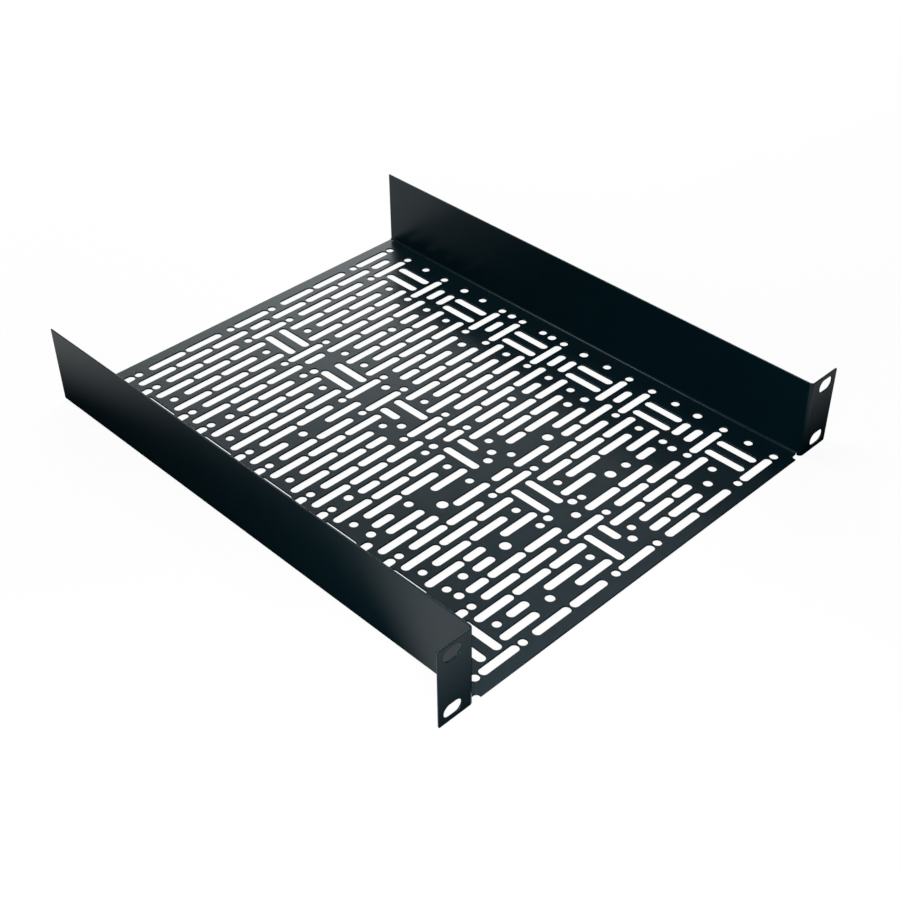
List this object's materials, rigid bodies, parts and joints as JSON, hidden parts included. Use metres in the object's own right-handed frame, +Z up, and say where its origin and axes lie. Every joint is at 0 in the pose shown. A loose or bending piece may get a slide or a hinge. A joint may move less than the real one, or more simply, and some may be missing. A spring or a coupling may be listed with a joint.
{
  "type": "rack shelf",
  "caption": "Half-width rack shelf folded from one steel sheet: a low tray with a slotted, vented floor, plain side walls and front ears with slots for rack screws.",
  "frame": {"origin": "under the middle of the floor: centre of the bounding box in X and Y, underside of the sheet in Z", "axes": "+X to the right seen from the front, +Y from the ears at the front to the open rear edge, +Z up"},
  "size_m": [0.2666, 0.2954, 0.0434],
  "materials": {
    "black_powder_coat": "satin black powder coat with a fine grain, over steel sheet"
  },
  "bodies": {
    "root": {"rack_shelf": "black_powder_coat"}
  },
  "joints": []
}
